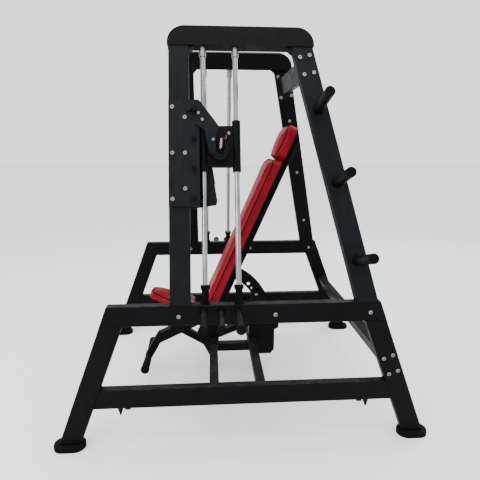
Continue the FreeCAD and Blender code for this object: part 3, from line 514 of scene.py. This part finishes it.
def weld_paths(side):
    """Seams where the side frame's tubes meet."""
    outer, inner = side * SIDE_Y, side * (SIDE_Y - 0.050)
    paths = []
    for way in (-1, 1):
        for y in (outer, inner):
            a, b = leg_x(UPPER_RAIL_UNDER), leg_x(UPPER_RAIL_UNDER) - LEG_WIDTH
            paths.append(steps(*[Vector((way * x, y, UPPER_RAIL_UNDER)) for x in (a, b)]))
            ends = [Vector((way * (leg_x(z) - LEG_WIDTH), y, z)) for z in (LOW_RAIL_UNDER, LOW_RAIL_TOP)]
            paths.append(steps(*ends))
    for x0, x1 in ((-0.363, -0.263), (0.541, 0.648)):
        paths.append(steps(Vector((x0 + 0.004, outer, RAIL_TOP)), Vector((x1 - 0.004, outer, RAIL_TOP))))
    for x0, x1 in ((-0.363, -0.263), (0.255, 0.362)):
        for depth in (0.0, 0.050):
            paths.append(steps(*[lean_point(x, depth, UPRIGHT_TOP, side) for x in (x0, x1)]))
    return paths


for side_name, side in SIDES:
    mesh = tube_mesh(side_name + "_welds", weld_paths(side), 0.0022, 8, wobble=0.16, seed=3 + side)
    add_object(side_name + "_welds", mesh, WELD, "frame")


# ---- small bolts on the carriages and hooks -----------------------------------------------------
def button_bolt(bm, base, out, radius, height):
    """Domed head with a hexagon socket."""
    side = out.orthogonal().normalized()
    other = out.cross(side)
    levels = [(1.0, 0.0), (1.0, 0.35), (0.9, 0.72), (0.68, 1.0), (0.46, 1.02), (0.44, 0.45), (0.0, 0.40)]
    rings = []
    count = 24
    for share, rise in levels:
        ring = []
        for k in range(count):
            a = 2 * math.pi * k / count
            r = radius * share
            if share in (0.46, 0.44):
                r *= math.cos(math.pi / 6) / math.cos((a % (math.pi / 3)) - math.pi / 6)
            around = side * math.cos(a) + other * math.sin(a)
            ring.append(bm.verts.new(base + around * r + out * height * rise))
        rings.append(ring)
    for a, b in zip(rings, rings[1:]):
        for k in range(count):
            bm.faces.new((a[k], a[(k + 1) % count], b[(k + 1) % count], b[k]))


def bolt_set(name, places, body, radius, height):
    bm = bmesh.new()
    for base, out in places:
        button_bolt(bm, base, out, radius, height)
    bmesh.ops.remove_doubles(bm, verts=bm.verts, dist=1e-6)
    bmesh.ops.recalc_face_normals(bm, faces=bm.faces)
    mesh = bpy.data.meshes.new(name)
    bm.to_mesh(mesh)
    bm.free()
    add_object(name, mesh, LOOKS["steel"], body)


for side_name, side in SIDES:
    outward = (lean_point(0, -1, 0, side) - lean_point(0, 0, 0, side)).normalized()
    carriage = [(lean_point(-0.069, 0.014, 0.840, side), outward)]
    bolt_set(side_name + "_carriage_bolts", carriage, side_name + "_carriage_body", 0.0085, 0.005)
    hook = [(lean_point(x, -0.020, up, side), outward) for x, up in
            ((-0.1466, 0.7987), (-0.216, 0.930), (-0.198, 0.898))]
    bolt_set(side_name + "_hook_bolts", hook, side_name + "_hook_body", 0.0080, 0.004)


# ---- stage --------------------------------------------------------------------------------------
def make_floor():
    bm = bmesh.new()
    bmesh.ops.create_grid(bm, x_segments=8, y_segments=8, size=30.0)
    mesh = bpy.data.meshes.new("floor")
    bm.to_mesh(mesh)
    bm.free()
    obj = bpy.data.objects.new("floor", mesh)
    bpy.context.scene.collection.objects.link(obj)
    mesh.materials.append(floor_paint("pale_floor"))


def area_light(name, place, target, size, watts, color=(1, 1, 1)):
    data = bpy.data.lights.new(name, "AREA")
    data.shape = "RECTANGLE"
    data.size, data.size_y = size
    data.energy = watts
    data.color = color
    obj = bpy.data.objects.new(name, data)
    bpy.context.scene.collection.objects.link(obj)
    obj.location = place
    obj.rotation_euler = (Vector(target) - Vector(place)).to_track_quat("-Z", "Y").to_euler()


def make_world():
    world = bpy.data.worlds.new("studio")
    world.use_nodes = True
    world.node_tree.nodes["Background"].inputs["Color"].default_value = (0.98, 0.985, 1.0, 1)
    world.node_tree.nodes["Background"].inputs["Strength"].default_value = 1.7
    bpy.context.scene.world = world


def make_camera():
    data = bpy.data.cameras.new("camera")
    data.sensor_width = 36.0
    data.lens = 32.34
    data.clip_end = 200.0
    obj = bpy.data.objects.new("camera", data)
    bpy.context.scene.collection.objects.link(obj)
    turn = (Matrix.Rotation(math.radians(-3.87), 4, "Z") @ Matrix.Rotation(math.radians(90 - 12.47), 4, "X")
            @ Matrix.Rotation(math.radians(0.11), 4, "Z"))
    obj.matrix_world = Matrix.Translation((-0.1608, -2.6403, 1.495)) @ turn
    bpy.context.scene.camera = obj


make_floor()
make_world()
area_light("top_softbox", (-0.3, -0.6, 4.2), (0, 0, 0.8), (3.6, 3.0), 130)
area_light("key", (-3.2, -3.6, 3.0), (0, 0, 1.0), (2.0, 2.0), 90, (1.0, 0.98, 0.95))
area_light("rim", (3.4, 2.6, 3.2), (0, 0, 1.0), (2.0, 2.0), 60, (0.92, 0.96, 1.0))
make_camera()
